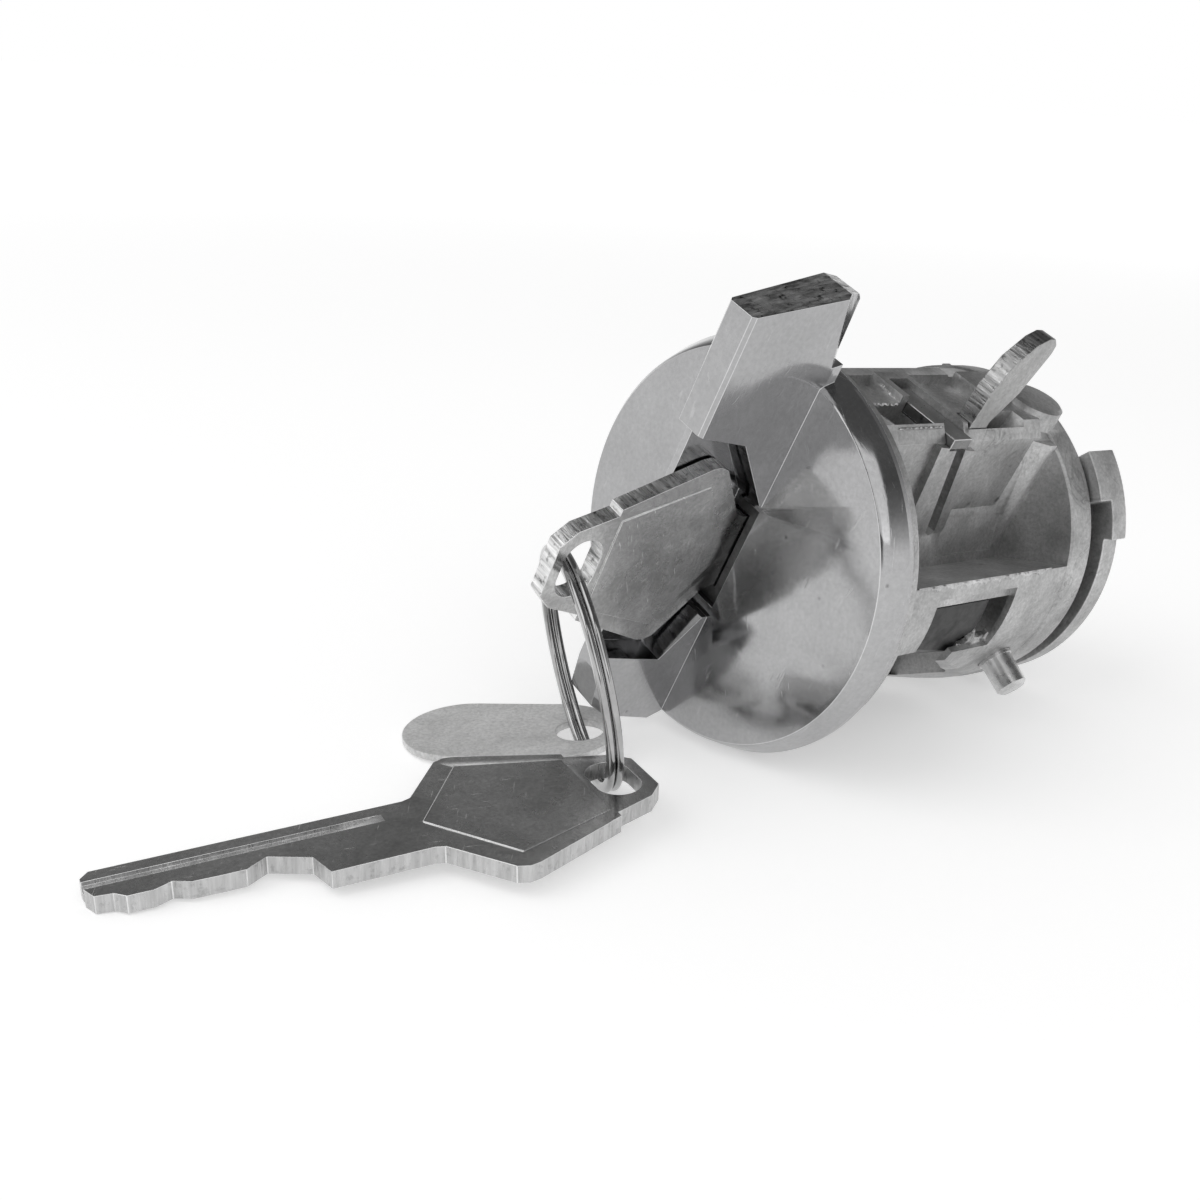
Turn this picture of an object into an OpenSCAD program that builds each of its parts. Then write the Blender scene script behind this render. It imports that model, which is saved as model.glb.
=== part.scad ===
// Steering column lock cylinder with its turning paddle knob, its key in the lock,
// and a spare key and a bare tag on a split ring, lying on a flat surface.
// Lock frame: the axis runs along +Y from the knob to the cam, and the origin is on the axis at the
// flange's seat. The whole lock leans back by rest_tilt, as it lies on its knob's band and rear ring.

/* [Knob] */
// Diameter of the cap's band at its back edge
knob_d = 43; // [42.6:0.2:45]
// Diameter of the polished face
knob_face_d = 41; // [40:0.2:41.8]
// Height of the band from the face to its back edge
knob_t = 3.2; // [3:0.1:3.6]
// Running gap between the cap and the flange
knob_gap = 0.2; // [0.15:0.05:0.3]
// Thickness of the paddle at its root
paddle_root_t = 4.8; // [4.6:0.1:5.4]
// Thickness of the paddle along its front edge
paddle_edge_t = 3.6; // [3.5:0.1:4]
// Height of the paddle over the face
paddle_h = 12.3; // [11.8:0.1:13]
// Reach of the long ear from the axis
ear_reach = 29.6; // [28.5:0.1:31]
// Reach of the short ear from the axis
short_ear_reach = 21.1; // [20.6:0.1:21.2]
// Half height of the notch for the key's bow
notch_half = 14; // [13.6:0.1:14.4]
// Height of the thin wall that closes one side of the notch
notch_wall_h = 10.3; // [9:0.1:11]

/* [Lock body] */
// Diameter of the flange behind the cap
flange_d = 41.8; // [41:0.2:42.4]
// Thickness of the flange
flange_t = 1.6; // [1.4:0.1:1.8]
// Diameter of the two lands that fit the column's bore
pilot_d = 36.4; // [36:0.1:37]
// Length of the land behind the flange
pilot_l = 2; // [1.6:0.1:2.4]
// Width of the rear land
ring_w = 3.6; // [3.2:0.1:4]
// Length from the flange's seat to the rear face
body_l = 34.2; // [33.8:0.1:35]
// Diameter of the cast barrel between the lands
barrel_d = 36; // [35.4:0.1:36]
// Width of the tower that holds the lever and the bolt
tower_w = 14.6; // [14.4:0.1:15]
// Height of the tower's top over the axis
tower_h = 18.3; // [18.2:0.1:18.6]
// Height of the locating rail over the axis
rail_h = 17.9; // [17.6:0.1:18.1]
// Diameter of the core that carries the plug
core_d = 22; // [21:0.5:23]
// Roll of the casting about the axis as it lies
body_roll = 21; // [18:1:24]

/* [Plug and tumblers] */
// Diameter of the plug
plug_d = 12.4; // [12.2:0.1:12.6]
// Radial running clearance of the plug in its bore
plug_play = 0.05; // [0.03:0.01:0.08]
// Diameter of the plug's head in the knob
plug_head_d = 14; // [13.6:0.1:14.2]
// Diameter of the plug's tail
tail_d = 8; // [7.8:0.1:8.2]
// Thickness of one tumbler plate
tumbler_t = 1.6; // [1.5:0.05:1.7]
// Spacing of the tumblers
tumbler_pitch = 2.4; // [2.35:0.05:2.45]

/* [Keys] */
// Thickness of a key
key_t = 1.75; // [1.65:0.05:1.9]
// Height of the raised panel over the bow's face
panel_rise = 0.12; // [0.1:0.01:0.14]
// Width of the blade
blade_w = 8.7; // [8.5:0.1:8.8]
// Length of the blade from the bow to its tip
blade_l = 28.2; // [28:0.1:28.6]
// Side of the five-sided panel on the bow
panel_side = 10.4; // [10.2:0.1:10.6]
// Height of the blade left at the tumblers, from its middle line
cut_top = 0.95; // [0.8:0.05:1]

/* [Ring and tag] */
// Outer diameter of the split ring
ring_d = 24.6; // [24.4:0.1:24.8]
// Width of the ring's wire, across the ring
ring_wire_w = 1.2; // [1.1:0.05:1.25]
// Thickness of one turn of the wire
ring_wire_t = 0.74; // [0.7:0.02:0.76]
// Length of the tag
tag_l = 22.6; // [22:0.2:24]
// Width of the tag
tag_w = 13; // [12:0.5:13.4]
// Thickness of the tag
tag_t = 0.8; // [0.7:0.05:0.9]

/* [Lever, bolt and pins] */
// Thickness of the lever's plate
lever_t = 2; // [1.9:0.05:2.05]
// Diameter of the lever's pivot
pivot_d = 1.8; // [1.7:0.05:1.9]
// Width of the cross bolt
bolt_w = 3; // [2.8:0.1:3.1]
// Thickness of the cross bolt
bolt_t = 1.2; // [1.1:0.05:1.3]
// Diameter of the retaining pin
pin_d = 3.5; // [3.3:0.1:3.7]
// Distance of the retaining pin's tip from the axis
pin_reach = 22.1; // [21.8:0.1:22.4]
// Diameter of the detent ball
ball_d = 3; // [2.8:0.1:3.1]

/* [Hidden] */
$fn = 72;

// Clearance of a piece that slides or turns in a pocket
slip = 0.1;
far = 60;
eps = 0.02;

// Places along the axis
knob_back_y = -flange_t - knob_gap;
face_y = knob_back_y - knob_t;
ring_y = body_l - ring_w;

// The lock leans until the band and the rear land both touch the surface
rest_tilt = atan((knob_d - pilot_d) / 2 / (body_l - knob_back_y));
floor_z = knob_back_y * -sin(rest_tilt) - knob_d / 2 * cos(rest_tilt);

// Shapes along the axis, across it, and turned about it
module along_y(y0, y1) {
    translate([0, y1, 0]) rotate([90, 0, 0]) linear_extrude(y1 - y0) children();
}
module along_x(x0, x1) {
    translate([x0, 0, 0]) rotate([90, 0, 90]) linear_extrude(x1 - x0) children();
}
module about_y(y0, y1, r) {
    translate([0, y0, 0]) rotate([-90, 0, 0]) cylinder(r = r, h = y1 - y0);
}
module turned(points) {
    rotate([-90, 0, 0]) rotate_extrude($fn = 120) polygon(points);
}
module as_it_lies() {
    rotate([-rest_tilt, 0, 0]) children();
}
module rolled() {
    rotate([0, body_roll, 0]) children();
}
module box(low, high) {
    translate(low) cube(high - low);
}
// A flat wedge from angle a0 to a1, less than a half turn, measured from +X towards +Z
module wedge(a0, a1) {
    am = (a0 + a1) / 2;
    polygon([[0, 0], far * [cos(a0), sin(a0)], far * [cos(am), sin(am)], far * [cos(a1), sin(a1)]]);
}
module ring_sector(r0, r1, a0, a1) {
    intersection() {
        difference() {
            circle(r = r1);
            circle(r = r0);
        }
        wedge(a0, a1);
    }
}

// A round wire swept along a path, with the frame held square to the coil's axis
function unit(v) = v / norm(v);
function tangent(p, i) = unit(p[min(i + 1, len(p) - 1)] - p[max(i - 1, 0)]);
module wire(path, r, sides = 6) {
    n = len(path);
    rings = [for (i = [0:n - 1])
        let (t = tangent(path, i), u = unit(cross(t, [0, 0, 1])), v = cross(u, t))
        for (k = [0:sides - 1]) path[i] + r * (cos(360 * k / sides) * u + sin(360 * k / sides) * v)];
    walls = [for (i = [0:n - 2], k = [0:sides - 1], h = [0, 1])
        let (a = i * sides + k, b = i * sides + (k + 1) % sides)
        h == 0 ? [a, a + sides, b] : [b, a + sides, b + sides]];
    start = [for (k = [1:sides - 2]) [0, k, k + 1]];
    last = (n - 1) * sides;
    end = [for (k = [1:sides - 2]) [last, last + k + 1, last + k]];
    polyhedron(points = rings, faces = concat(walls, start, end));
}
function helix(r, pitch, turns, steps = 8) =
    [for (i = [0:turns * steps]) [r * cos(360 * i / steps), r * sin(360 * i / steps), pitch * i / steps]];
module coil(mean_r, wire_d, turns, length) {
    pitch = (length - wire_d) / turns;
    echo(str("coil gap ", pitch - wire_d));
    translate([0, 0, wire_d / 2]) wire(helix(mean_r, pitch, turns), wire_d / 2);
}

// Knob: a capped band with a paddle across it, and a notch for the key's bow

key_play = 0.15;
key_slot_w = key_t + 2 * key_play;
plug_head_front = knob_back_y - 2.4;
head_flat = 0.8;
detent_r = 15.2;
detent_groove = 1.1;
washer_r0 = 8.7;
washer_r1 = 12.3;
washer_t = 0.6;
bevel_lean = 16.4;
// The ears in the paddle's plane: [distance in front of the face, height over the axis]
long_ear = [[-1.6, 18.8], [-1.6, ear_reach - 0.8], [-1.1, ear_reach - 0.3], [1, ear_reach],
            [paddle_h, ear_reach - 2.7], [paddle_h, notch_half + 0.7], [6.1, notch_half - 0.2],
            [0.2, 6.6], [-1.5, 6.6]];
short_ear = [[-1.5, 18.8], [-0.15, short_ear_reach - 0.9], [1.6, short_ear_reach], [8, short_ear_reach - 1.4],
             [10.6, short_ear_reach - 3.2], [11.3, notch_half - 0.2], [11.3, notch_half - 2.6],
             [4.1, notch_half - 1.5], [0.7, 7.3], [-1.5, 7.3]];
function in_front(points, side) = [for (p = points) [face_y - p[0], side * p[1]]];

module turn_knob() {
    color("silver") as_it_lies() difference() {
        union() {
            turned([[0, face_y], [knob_face_d / 2 - 0.3, face_y], [knob_face_d / 2, face_y + 0.3],
                    [knob_d / 2, knob_back_y - 0.6], [knob_d / 2, knob_back_y],
                    [0, knob_back_y]]);
            rolled() paddle();
        }
        rolled() {
            // Slot for the key through the face, and the socket for the plug's head
            box([-key_slot_w / 2, face_y - 1, -blade_w / 2 - 0.4],
                [key_slot_w / 2, knob_back_y + 1, blade_w / 2 + 0.4]);
            box([-key_slot_w / 2, face_y - 1, -6], [paddle_root_t / 2, face_y + 0.8, 6]);
            plug_head(0.05);
        }
        // Ring groove for the detent ball, and the seat of the wave washer
        turned([[detent_r - 1.7, knob_back_y + 1], [detent_r - 1.7, knob_back_y - detent_groove],
                [detent_r + 1.7, knob_back_y - detent_groove], [detent_r + 1.7, knob_back_y + 1]]);
        turned([[washer_r0 - 0.3, knob_back_y + 1], [washer_r0 - 0.3, -flange_t - washer_t - 0.05],
                [washer_r1 + 0.3, -flange_t - washer_t - 0.05], [washer_r1 + 0.3, knob_back_y + 1]]);
    }
}
module paddle() {
    root = paddle_root_t / 2;
    edge = paddle_edge_t / 2;
    front_y = face_y - paddle_h;
    // Tapered slice of the paddle, seen from above, with its front corners broken
    difference() {
        paddle_slice(root, edge, front_y);
        // Bevel along the back edge of the long ear, on one side
        translate([root, face_y + 0.25, 22.4]) rotate([bevel_lean, 0, 0]) linear_extrude(12)
            polygon([[-0.1, 0], [0.4, -0.5], [1, 5], [-2, 5], [-1.3, 1.6]]);
    }
}
module paddle_slice(root, edge, front_y) {
    intersection() {
        linear_extrude(2 * ear_reach + 4, center = true)
            polygon([[-root, face_y + 1.6], [-root, face_y + 0.5], [-edge, front_y + 0.35],
                     [-edge + 0.35, front_y], [edge - 0.35, front_y], [edge, front_y + 0.35],
                     [root, face_y + 0.5], [root, face_y + 1.6]]);
        union() {
            along_x(-root, root) polygon(in_front(long_ear, 1));
            along_x(-root, root) polygon(in_front(short_ear, -1));
            // Thin wall on the notch's far side
            along_x(-root, -key_t / 2 - panel_rise - 0.1)
                polygon([[face_y + 1.5, notch_half], [face_y - notch_wall_h, notch_half + 0.6],
                         [face_y - notch_wall_h, -notch_half + 2], [face_y + 1.5, -notch_half + 2]]);
        }
    }
}

// Lock body: one zinc casting with a flange, two lands, a barrel cut away on both sides and a tower

recess_bend_z = 8;
recess_foot = [9.2, 2];
// Rise of the ledge from the recess's foot to the barrel's outside
ledge_rise = 9;
tower_end_y = ring_y - 2;
rail_x0 = -5;
rail_x1 = -3.6;
rail_end_y = 24.6;
deck_z = 16.7;
lever_x = 4.4;
lever_eye_r = 1.75;
pivot_y = 17.5;
pocket_y = 15.5;
bolt_travel = 0.7;
bolt_well = 3;
pivot_z = 11.5;
bolt_y = 11.6;
bolt_in_x = -1.5;
bolt_out_x = 8;
bolt_top_z = 17.6;
pin_y = 27;
pin_angle = -40;
pin_root_r = 14.5;
pin_seat_r = 8.1;
pin_nose_r = 18.3;
pin_shank_d = pin_d + 0.4;
window_y0 = 8.1;
window_y1 = 21.8;
skin_t = 0.7;
hollow_y0 = 4;
hollow_y1 = 24.4;
sleeve_end_y = 18.9;
// Flat underside: its distance from the axis and the way that it faces
flat_r = 13.2;
flat_angle = 67.5;
detent_depth = 7;
slot_x = lever_x - slip;

module side_recess() {
    polygon([[tower_w / 2, far], [tower_w / 2, recess_bend_z], recess_foot,
             recess_foot + far * [cos(body_roll + ledge_rise), sin(body_roll + ledge_rise)], [far, far]]);
}
module barrel_section() {
    difference() {
        circle(d = barrel_d);
        side_recess();
        mirror([1, 0]) side_recess();
    }
}
module tower_section() {
    half = tower_w / 2;
    polygon([[-half, 0], [half, 0], [half, tower_h - 1.5], [half - 1.3, tower_h], [rail_x1, tower_h],
             [rail_x1, deck_z], [rail_x0, deck_z], [-half, deck_z - 1.4]]);
}
// Raised pad with a slanted groove that guides the bolt's end, on the tower's side
module bolt_guide() {
    along_x(tower_w / 2 - eps, tower_w / 2 + 0.8)
        polygon([[9.9, 16.8], [16.2, 16.1], [18.6, 5.9], [18, 5.2], [12.2, 5.2], [11.6, 5.9]]);
}
module guide_groove() {
    along_x(tower_w / 2 - 0.4, tower_w / 2 + 2)
        polygon([[12.3, 18], [13.8, 18], [17.05, 5.9], [16.3, 5.4], [15.5, 5.9]]);
}
module lock_body() {
    color("darkgray") as_it_lies() difference() {
        union() {
            turned([[0, -flange_t], [flange_d / 2 - 0.3, -flange_t], [flange_d / 2, -flange_t + 0.3],
                    [flange_d / 2, -0.2], [flange_d / 2 - 0.2, 0], [0, 0]]);
            about_y(-eps, pilot_l, pilot_d / 2);
            turned([[0, ring_y], [pilot_d / 2 - 0.25, ring_y], [pilot_d / 2, ring_y + 0.25],
                    [pilot_d / 2, body_l], [0, body_l]]);
            rolled() {
                along_y(pilot_l - eps, ring_y + eps) barrel_section();
                along_y(-eps, tower_end_y) tower_section();
                // Locating rail and the round lug behind it
                along_x(rail_x0, rail_x1 + eps)
                    polygon([[-eps, 15], [-eps, rail_h], [rail_end_y - 1, rail_h], [rail_end_y, deck_z],
                             [rail_end_y, 15]]);
                translate([3.3, ring_y + 0.1, 14]) cylinder(r = 3.2, h = 5);
                translate([3.3, ring_y + 0.1, 19 - eps]) cylinder(r1 = 3.2, r2 = 2.8, h = 0.3);
                bolt_guide();
                // Slanted buttress between the tower's side and the rear land, on both sides
                for (side = [0, 1]) mirror([side, 0, 0]) translate([0, 0, recess_bend_z - 5])
                    linear_extrude(13.4)
                        polygon([[tower_w / 2 - eps, ring_y - 3.2], [tower_w / 2 + 1.1, ring_y - 1.3],
                                 [tower_w / 2 + 1.1, ring_y + eps], [tower_w / 2 - eps, ring_y + eps]]);
            }
        }
        about_y(-flange_t - 1, body_l + 1, plug_d / 2 + plug_play);
        about_y(-flange_t - 1, 0, plug_head_d / 2 + 0.25);
        rolled() box([4, sidebar_y0 - slip, -1], [plug_d / 2 + 1, sidebar_y1 + slip, 1]);
        window();
        underside() polygon([[flat_r, pilot_l + 0.3], [flat_r, 10], [flat_r + 1.2, 14], [flat_r + 2.8, 19.4],
                             [flat_r + 3.9, 25], [flat_r + 5, 29], [far, 29], [far, pilot_l + 0.3]]);
        detent_hole();
        retaining_hole();
        rolled() {
            guide_groove();
            lever_pocket();
            bolt_slot();
            // Shallow panel in each recess's lower wall
            for (side = [0, 1]) mirror([side, 0, 0]) translate([8.25, 0, 5]) rotate([0, -17.6, 0])
                box([-0.4, 18.5, -2.2], [2, 28.6, 2.2]);
        }
    }
}
// Opening low on the near side, in the skin over the hollow that the sleeve lies in
module window() {
    along_y(window_y0, window_y1) ring_sector(barrel_d / 2 - skin_t - eps, far, -29, -5);
    along_y(window_y0, 15.5) ring_sector(barrel_d / 2 - skin_t - eps, far, -88, -28);
    along_y(hollow_y0, hollow_y1) ring_sector(core_d / 2, barrel_d / 2 - skin_t, -150, -9);
}
// A profile of [height over the axis, place along it], swept across the underside
module underside() {
    rotate([0, flat_angle, 0]) linear_extrude(2 * far, center = true) children();
}
// Dark sleeve segment under the window
module core_sleeve() {
    color("dimgray") as_it_lies() difference() {
        along_y(hollow_y0 + slip, sleeve_end_y)
            ring_sector(core_d / 2 + slip, barrel_d / 2 - skin_t - 0.3, -149, -10);
        underside() polygon([[flat_r - slip, 0], [flat_r - slip, 10], [flat_r + 1, sleeve_end_y],
                             [flat_r + 1, body_l], [far, body_l], [far, 0]]);
    }
}
module detent_hole() {
    rolled() translate([0, -flange_t - 1, detent_r]) rotate([-90, 0, 0])
        cylinder(d = ball_d + 0.1, h = detent_depth + flange_t + 1);
}
module retaining_hole() {
    translate([0, pin_y, 0]) rotate([0, -pin_angle + 90, 0]) translate([0, 0, pin_seat_r])
        cylinder(d = pin_shank_d + 0.1, h = far);
}
module lever_pocket() {
    along_x(slot_x, lever_x + lever_t + slip)
        polygon([[pocket_y, 9.2], [pivot_y + 3.5, 9.2], [24.8, 14.5], [25.6, tower_h],
                 [25.6, far], [pocket_y, far]]);
    // Room for the lever's spring beside it, and the pivot's hole, drilled from the far side
    box([1.7, pocket_y, 9.4], [slot_x + eps, pivot_y + 2.1, 13.6]);
    translate([-far, pivot_y, pivot_z]) rotate([0, 90, 0])
        cylinder(d = pivot_d + 0.02, h = far + tower_w / 2 - 0.5);
}
module bolt_slot() {
    box([bolt_in_x - bolt_travel - slip, bolt_y - slip, bolt_top_z - bolt_t - slip],
        [far, bolt_y + bolt_w + slip, far]);
    // Open pocket in front of the bolt
    box([1, 3.4, 13.4], [tower_w / 2 - 1.3, bolt_y, far]);
    // Shelf beside the pocket, and the lowered deck in front of the bolt and behind it
    box([-1.2, 2.4, tower_h - 0.8], [1 + eps, bolt_y - 1.2, far]);
    box([rail_x1, 2.4, deck_z], [-1.2 + eps, bolt_y - 1.2, far]);
    box([rail_x1, bolt_y + bolt_w + 1, deck_z], [slot_x - 0.9, rail_end_y, far]);
    translate([bolt_in_x - bolt_well, bolt_y + bolt_w / 2, bolt_top_z - bolt_t / 2 - 0.1]) rotate([0, 90, 0])
        cylinder(d = 1.5, h = bolt_well);
}

// Plug: turns in the body, with its head keyed in the knob and its tail driving the cam

tumbler_y = 8;
tail_end_y = body_l + 7;
cam_hub_y = body_l + 0.5;
clip_y = body_l + 5.5;
clip_t = 0.7;
function tumbler_at(i) = tumbler_y + i * tumbler_pitch;
sidebar_y0 = tumbler_at(0) - 2.7;
sidebar_y1 = tumbler_at(5) + 2.7;

module plug_head(play) {
    intersection() {
        about_y(plug_head_front - play, -0.05, plug_head_d / 2 + play);
        box([-plug_head_d / 2 + head_flat - play, -far, -far], [plug_head_d / 2 - head_flat + play, far, far]);
    }
}
module plug() {
    color("dimgray") as_it_lies() rolled() difference() {
        union() {
            plug_head(0);
            about_y(-0.06, body_l, plug_d / 2);
            about_y(body_l - eps, cam_hub_y, tail_d / 2);
            intersection() {
                about_y(cam_hub_y - eps, tail_end_y, tail_d / 2);
                box([-tail_d / 2 + 1, -far, -far], [tail_d / 2 - 1, far, far]);
            }
        }
        // Keyway
        box([-key_slot_w / 2, plug_head_front - 1, -blade_w / 2 - key_play],
            [key_slot_w / 2, face_y + blade_l + 1.5, blade_w / 2 + key_play]);
        for (i = [0:5]) translate([0, tumbler_at(i), 0]) {
            box([-3.1, -tumbler_t / 2 - 0.05, -far], [4.35, tumbler_t / 2 + 0.05, far]);
            box([-5.1, -tumbler_t / 2 - 0.05, -3], [-3, tumbler_t / 2 + 0.05, far]);
        }
        // Groove for the sidebar, and the wells of its springs
        box([4.3, sidebar_y0 - slip, -1], [far, sidebar_y1 + slip, 1]);
        for (y = [sidebar_y0 + 0.7, sidebar_y1 - 0.7]) translate([2, y, 0]) rotate([0, 90, 0])
            cylinder(d = 1.3, h = 3);
        // Neck for the clip
        difference() {
            about_y(clip_y - 0.05, clip_y + clip_t + 0.05, tail_d);
            about_y(clip_y - 1, clip_y + clip_t + 1, tail_d / 2 - 1.1);
        }
    }
}
module tumbler(i) {
    color("goldenrod") as_it_lies() rolled() translate([0, tumbler_at(i), 0]) {
        difference() {
            intersection() {
                about_y(-tumbler_t / 2, tumbler_t / 2, plug_d / 2 - 0.15);
                union() {
                    box([-3, -far, -far], [4.25, far, far]);
                    box([-5, -far, 0.1], [-2.9, far, 1.3]);
                }
            }
            // Window for the blade: its lower edge rides on the key's cut
            box([-key_slot_w / 2, -far, -cut_top - 0.03], [key_slot_w / 2, far, blade_w / 2 + key_play]);
            // Notch for the sidebar
            box([3.9, -far, -0.95], [far, far, 0.95]);
        }
    }
}
module tumbler_springs() {
    color("silver") as_it_lies() rolled() for (i = [0:5])
        translate([-4.1, tumbler_at(i), -2.95]) coil(0.55, 0.3, 4, 3.02);
}
module sidebar() {
    color("gray") as_it_lies() rolled() intersection() {
        box([4.45, sidebar_y0, -0.9], [far, sidebar_y1, 0.9]);
        about_y(0, body_l, plug_d / 2 - 0.05);
    }
}
module sidebar_springs() {
    color("silver") as_it_lies() rolled() for (y = [sidebar_y0 + 0.7, sidebar_y1 - 0.7])
        translate([2.02, y, 0]) rotate([0, 90, 0]) coil(0.45, 0.22, 3, 2.4);
}
module face_washer() {
    color("silver") as_it_lies() difference() {
        about_y(-flange_t - washer_t, -flange_t - 0.02, washer_r1);
        about_y(-far, far, washer_r0);
    }
}
module detent_ball() {
    color("silver") as_it_lies() rolled() translate([0, -flange_t - 0.2 + ball_d / 2 - 1, detent_r])
        sphere(d = ball_d);
}
module detent_spring() {
    spring_y = -flange_t - 0.2 + ball_d - 1 + 0.05;
    color("silver") as_it_lies() rolled() translate([0, spring_y, detent_r]) rotate([-90, 0, 0])
        coil(1, 0.4, 5, detent_depth - spring_y - 0.05);
}

// Cam on the plug's tail, its washer and its clip

cam_y = body_l + 2.5;
cam_t = 2.8;
cam_r = 19.4;

module drive_cam() {
    color("darkgray") as_it_lies() difference() {
        union() {
            about_y(cam_y, cam_y + cam_t, 12);
            about_y(cam_hub_y, cam_y + eps, 6.5);
            along_y(cam_y, cam_y + cam_t) ring_sector(10, cam_r, 8, 38);
            along_y(cam_y, cam_y + cam_t) ring_sector(10, cam_r - 1, -73.5, 9);
            along_y(body_l + 0.4, cam_y + cam_t) ring_sector(15, cam_r, 21, 38);
        }
        rolled() intersection() {
            about_y(body_l, tail_end_y, tail_d / 2 + 0.05);
            box([-tail_d / 2 + 0.95, -far, -far], [tail_d / 2 - 0.95, far, far]);
        }
    }
}
module cam_washer() {
    color("silver") as_it_lies() difference() {
        about_y(body_l + 0.05, cam_hub_y - 0.05, 8);
        about_y(-far, far, tail_d / 2 + 0.1);
    }
}
module cam_clip() {
    color("dimgray") as_it_lies() rolled() difference() {
        about_y(clip_y, clip_y + clip_t, 5.6);
        about_y(-far, far, tail_d / 2 - 1.05);
        box([-far, -far, -tail_d / 2 + 1.25], [0, far, tail_d / 2 - 1.25]);
    }
}

// Retaining pin, lever and bolt

module at_pin() {
    as_it_lies() translate([0, pin_y, 0]) rotate([0, -pin_angle + 90, 0]) children();
}
module retaining_pin() {
    color("silver") at_pin() translate([0, 0, pin_root_r]) {
        cylinder(d = pin_shank_d, h = pin_nose_r - pin_root_r);
        cylinder(d = pin_d, h = pin_reach - pin_root_r - 0.4);
        translate([0, 0, pin_reach - pin_root_r - 0.4 - eps]) cylinder(d1 = pin_d, d2 = pin_d - 0.8, h = 0.4);
    }
}
module pin_spring() {
    color("silver") at_pin() translate([0, 0, pin_seat_r + 0.05])
        coil(1.2, 0.45, 5, pin_root_r - pin_seat_r - 0.1);
}
module release_lever() {
    color("lightgray") as_it_lies() rolled() difference() {
        union() {
            along_x(lever_x, lever_x + lever_t)
                polygon([[pivot_y - 1.3, pivot_z], [15.7, 17], [16.3, 22], [17.6, 25.2], [19.8, 27.5],
                         [21.2, 28.2], [22.2, 28.2], [22.9, 27.5], [22.9, 26.5], [21.2, 21.8],
                         [18.8, 18.4], [pivot_y + 1.3, pivot_z]]);
            translate([lever_x, pivot_y, pivot_z]) rotate([0, 90, 0]) cylinder(r = lever_eye_r, h = lever_t);
        }
        translate([0, pivot_y, pivot_z]) rotate([0, 90, 0]) cylinder(d = pivot_d + 0.1, h = 20);
    }
}
module lever_pivot() {
    color("silver") as_it_lies() rolled() translate([-tower_w / 2 + 0.2, pivot_y, pivot_z])
        rotate([0, 90, 0]) cylinder(d = pivot_d, h = tower_w - 0.8);
}
module lever_spring() {
    color("silver") as_it_lies() rolled() translate([1.8, pivot_y, pivot_z]) rotate([0, 90, 0])
        coil(pivot_d / 2 + 0.6, 0.45, 2, 2.4);
}
module cross_bolt() {
    color("dimgray") as_it_lies() rolled()
        box([bolt_in_x, bolt_y, bolt_top_z - bolt_t], [bolt_out_x, bolt_y + bolt_w, bolt_top_z]);
}
module bolt_spring() {
    color("silver") as_it_lies() rolled()
        translate([bolt_in_x - bolt_well + 0.05, bolt_y + bolt_w / 2, bolt_top_z - bolt_t / 2 - 0.1])
            rotate([0, 90, 0]) coil(0.5, 0.28, 3, bolt_well - 0.1);
}

// Keys: u runs from the bow's corner to its ring end, v across, cuts on the +v side

slot_u = 19.4;
slot_w = 4.4;
slot_v = 6.5;
half_w = blade_w / 2;
// The blade's cut edge: [u, v]
cuts = [[-9.1, half_w], [-9.4, 3.3], [-9.9, 1.5], [-13.4, -0.3], [-14.4, 0.3], [-15.4, cut_top],
        [-17.5, cut_top], [-19.9, cut_top - 0.1], [-21.4, 0.1], [-22.9, cut_top - 0.2],
        [-25.1, cut_top - 0.2], [-26, -0.1], [-blade_l + 0.7, -0.3], [-blade_l, -1.9]];

module blade_outline() {
    polygon(concat([[1.4, -half_w], [1.4, half_w]], cuts,
                   [[-blade_l, -half_w + 0.9], [-blade_l + 0.8, -half_w]]));
}
module bow_outline() {
    side = [[0, half_w], [0.9, half_w + 0.3], [5.2, 10.2], [6.3, 10.6], [7.4, 10.4], [17, 6.5],
            [17, 5.8], [21.2, 4.4], [22.8, 2.8]];
    polygon(concat(side, [for (i = [len(side) - 1:-1:0]) [side[i][0], -side[i][1]]]));
}
module panel_outline() {
    r = panel_side / 2 / sin(36);
    translate([r + 0.5, 0]) polygon([for (k = [0:4]) r * [cos(180 + 72 * k), sin(180 + 72 * k)]]);
}
module ring_slot() {
    for (side = [-1, 1]) translate([slot_u, side * (slot_v - slot_w) / 2]) circle(d = slot_w);
    translate([slot_u - slot_w / 2, -(slot_v - slot_w) / 2]) square([slot_w, slot_v - slot_w]);
}
module key_solid() {
    difference() {
        union() {
            linear_extrude(key_t, center = true) {
                blade_outline();
                bow_outline();
            }
            linear_extrude(key_t + 2 * panel_rise, center = true) panel_outline();
        }
        linear_extrude(far, center = true) ring_slot();
        // Milled groove along each side of the blade
        for (side = [-1, 1]) translate([-blade_l - 1, -2.9, side * key_t / 2 - 0.45])
            cube([blade_l - 1.5, 1.2, 0.9]);
    }
}
module key() {
    color("gainsboro") as_it_lies() rolled() translate([0, face_y, 0]) rotate([90, 0, -90])
        mirror([0, 1, 0]) key_solid();
}

// Ring, spare key and tag, placed on the surface in the row's frame

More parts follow.
